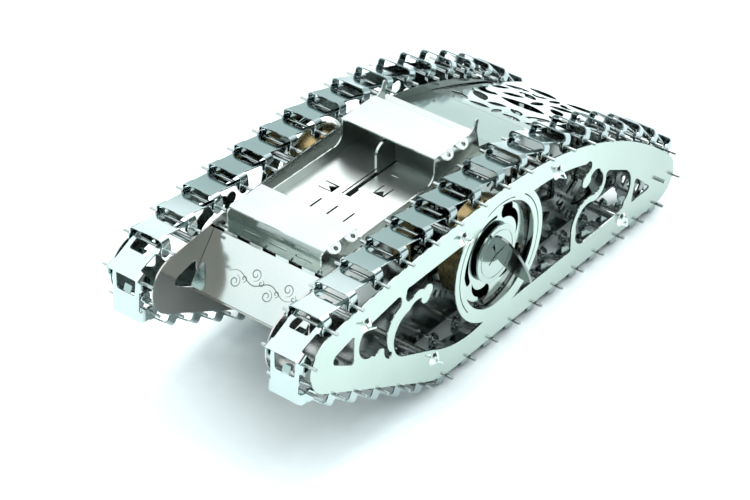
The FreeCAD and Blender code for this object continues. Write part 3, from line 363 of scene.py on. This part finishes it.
TAB_STEEL = sheet_metal("twisted_tab_steel", (0.78, 0.83, 0.81), TAB_GRAIN, (0.04, 0.10))
WIRE = turned_metal("drawn_wire", (0.44, 0.48, 0.47), (0.16, 0.30))
BRASS = brass_drum()
SPRING = turned_metal("blued_spring", (0.05, 0.06, 0.09), (0.18, 0.34))

# the first row whose word is in a node's name gives its finish
FINISHES = (
    (("spring_barrel",), BRASS),
    (("mainspring",), SPRING),
    (("track_pins", "drive_axle", "barrel_arbor", "tie_rods", "gear_studs"), WIRE),
    (("ground_links",), GROUND_STEEL),
    (("links",), LINK_STEEL),
    (("outer_panel",), SIDE_STEEL),
    (("barrel_cover",), COVER_STEEL),
    (("wheel_sleeve",), SLEEVE_STEEL),
    (("twist_tabs",), TAB_STEEL),
    (("tub_wall", "deck_step"), WALL_STEEL),
    (("tub_floor",), FLOOR_STEEL),
    (("belly_plate", "inner_panel"), INNER_STEEL),
    (("gear_a", "gear_b", "drive_gear", "drive_sprocket", "barrel_wheel", "ratchet",
      "brake_slide"), GEAR_STEEL),
    (("winding_key",), KEY_STEEL),
    (("key_disc",), DISC_STEEL),
)


def finish_of(name):
    for words, material in FINISHES:
        if any(word in name for word in words):
            return material
    return HULL_STEEL


for node_name, node in nodes.items():
    node.data.materials.clear()
    node.data.materials.append(finish_of(node_name))


# ---------------------------------------------------------------- etched vine


def sloping_face(node_name, facing):
    """Middle of the flat face of a node that looks along facing."""
    mesh = nodes[node_name].data
    corners = [mesh.vertices[i].co for face in mesh.polygons if face.normal.dot(facing) > 0.99
               for i in face.vertices]
    low = Vector([min(c[k] for c in corners) for k in range(3)])
    high = Vector([max(c[k] for c in corners) for k in range(3)])
    return (low + high) / 2


def ribbon(points, across, up, out, origin):
    """Closed, very thin band along 2-D points on a plane, tapered at both ends."""
    vertices, faces = [], []
    last = len(points) - 1
    for i, (x, y) in enumerate(points):
        ax, ay = points[max(i - 1, 0)]
        bx, by = points[min(i + 1, last)]
        length = math.hypot(bx - ax, by - ay)
        taper = ETCH_TIP + (1 - ETCH_TIP) * math.sin(math.pi * i / last)
        half = ETCH_WIDTH / 2 * taper
        nx, ny = -(by - ay) / length * half, (bx - ax) / length * half
        for side_x, side_y, height in ((nx, ny, ETCH_RISE), (-nx, -ny, ETCH_RISE),
                                       (-nx, -ny, -ETCH_RISE), (nx, ny, -ETCH_RISE)):
            vertices.append(origin + across * (x + side_x) + up * (y + side_y) + out * height)
    for i in range(last):
        for k in range(4):
            a, b = 4 * i + k, 4 * i + (k + 1) % 4
            faces.append((a, b, b + 4, a + 4))
    faces += [(3, 2, 1, 0), (4 * last, 4 * last + 1, 4 * last + 2, 4 * last + 3)]
    return vertices, faces


def curl(x, y, radius, start, turns):
    """Spiral that winds inwards from its start angle."""
    points = []
    for i in range(CURL_STEPS + 1):
        shrunk = radius * (1 - CURL_SHRINK * i / CURL_STEPS)
        angle = math.radians(start + 360 * turns * i / CURL_STEPS)
        points.append((x + shrunk * math.cos(angle), y + shrunk * math.sin(angle)))
    return points


def vine_strokes():
    """A wavy stem of two waves, and a large and a small curl in each half wave."""
    stem = []
    for k in range(VINE_STEPS + 1):
        along = 2 * k / VINE_STEPS - 1
        stem.append((VINE_HALF * along, VINE_HEIGHT * math.sin(2 * math.pi * (along + 1))))
    strokes = [stem]
    for k in range(CURL_PAIRS):
        x = VINE_HALF * (2 * k + 1 - CURL_PAIRS) / CURL_PAIRS
        side = 1 if k % 2 else -1
        strokes.append(curl(x, side * 0.0021, 0.0019, -90 * side, 1.4 * side))
        strokes.append(curl(x + 0.0026, side * 0.0004, 0.0010, 90 * side, -1.1 * side))
    return strokes


def etched_vine():
    """Generic vine with curls, etched into the nose plate."""
    out = NOSE_FACING.normalized()
    across = Vector((0.0, 1.0, 0.0))
    up = out.cross(across)
    origin = sloping_face("nose_plate", NOSE_FACING) + across * VINE_ASIDE
    vertices, faces = [], []
    for points in vine_strokes():
        base = len(vertices)
        corners, sides = ribbon(points, across, up, out, origin)
        vertices += corners
        faces += [tuple(base + i for i in face) for face in sides]
    mesh = bpy.data.meshes.new("etched_vine")
    mesh.from_pydata(vertices, [], faces)
    mesh.materials.append(etched_steel())
    vine = bpy.data.objects.new("etched_vine", mesh)
    bpy.context.scene.collection.objects.link(vine)
    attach(vine, "root")


# ---------------------------------------------------------------- studio


def heading(azimuth, elevation):
    """Unit vector towards an azimuth (from +X to +Y) and elevation in degrees."""
    a, e = math.radians(azimuth), math.radians(elevation)
    return Vector((math.cos(a) * math.cos(e), math.sin(a) * math.cos(e), math.sin(e)))


def studio_floor():
    mesh = bpy.data.meshes.new("floor")
    half = FLOOR_SIZE / 2
    corners = [(-half, -half, 0), (half, -half, 0), (half, half, 0), (-half, half, 0)]
    mesh.from_pydata(corners, [], [(0, 1, 2, 3)])
    floor = bpy.data.objects.new("floor", mesh)
    bpy.context.scene.collection.objects.link(floor)
    material, tree, shader = new_material("white_sweep")
    grain = noise(tree, coordinates(tree, EVEN), FLOOR_GRAIN, 3.0)
    tree.links.new(ramp(tree, grain, FLOOR_TONES), shader.inputs["Base Color"])
    shader.inputs["Roughness"].default_value = FLOOR_ROUGHNESS
    shader.inputs["Specular IOR Level"].default_value = FLOOR_SPECULAR
    mesh.materials.append(material)


def studio_world():
    """White overhead tent over a grey-green horizon, with two dark parts of the room.

    The colour depends on the direction alone, so the polished sheet mirrors it.
    """
    world = bpy.data.worlds.new("studio")
    bpy.context.scene.world = world
    world.use_nodes = True
    tree = world.node_tree
    tree.nodes.clear()
    output = tree.nodes.new("ShaderNodeOutputWorld")
    background = tree.nodes.new("ShaderNodeBackground")
    tree.links.new(background.outputs["Background"], output.inputs["Surface"])
    direction = tree.nodes.new("ShaderNodeTexCoord").outputs["Generated"]
    split = tree.nodes.new("ShaderNodeSeparateXYZ")
    tree.links.new(direction, split.inputs["Vector"])
    colour = ramp(tree, split.outputs["Z"], HORIZON)
    for azimuth, elevation, stops in DARK_PARTS:
        facing = vector_node(tree, "DOT_PRODUCT", direction, heading(azimuth, elevation))
        colour = mix_colour(tree, 1.0, colour, ramp(tree, facing, stops), "MULTIPLY")
    tree.links.new(colour, background.inputs["Color"])
    background.inputs["Strength"].default_value = ROOM_STRENGTH


def soft_box(name, azimuth, elevation, distance, size, power, colour):
    """Rectangular area light aimed at the object's middle; azimuth is from +X to +Y."""
    light = bpy.data.lights.new(name, "AREA")
    light.shape = "RECTANGLE"
    light.size, light.size_y = size
    light.energy = power
    light.color = colour
    lamp = bpy.data.objects.new(name, light)
    way = heading(azimuth, elevation)
    lamp.location = way * distance + LAMP_AIM
    lamp.rotation_mode = "QUATERNION"
    lamp.rotation_quaternion = way.to_track_quat("Z", "Y")
    bpy.context.scene.collection.objects.link(lamp)


def camera():
    data = bpy.data.cameras.new("camera")
    data.sensor_width = CAMERA_SENSOR
    data.lens = CAMERA_LENS
    data.clip_start, data.clip_end = CAMERA_CLIP
    view = bpy.data.objects.new("camera", data)
    view.location = CAMERA_SPOT
    view.rotation_mode = "QUATERNION"
    view.rotation_quaternion = CAMERA_LOOK.to_track_quat("-Z", "Y")
    bpy.context.scene.collection.objects.link(view)
    bpy.context.scene.camera = view


etched_vine()
studio_floor()
studio_world()
soft_box("key", 190, 52, 1.6, (1.1, 0.8), 22.0, (1.0, 0.99, 0.97))
soft_box("fill", 60, 65, 1.6, (0.8, 0.8), 5.0, (0.94, 0.98, 1.0))
camera()
bpy.context.scene.view_settings.view_transform = "Standard"
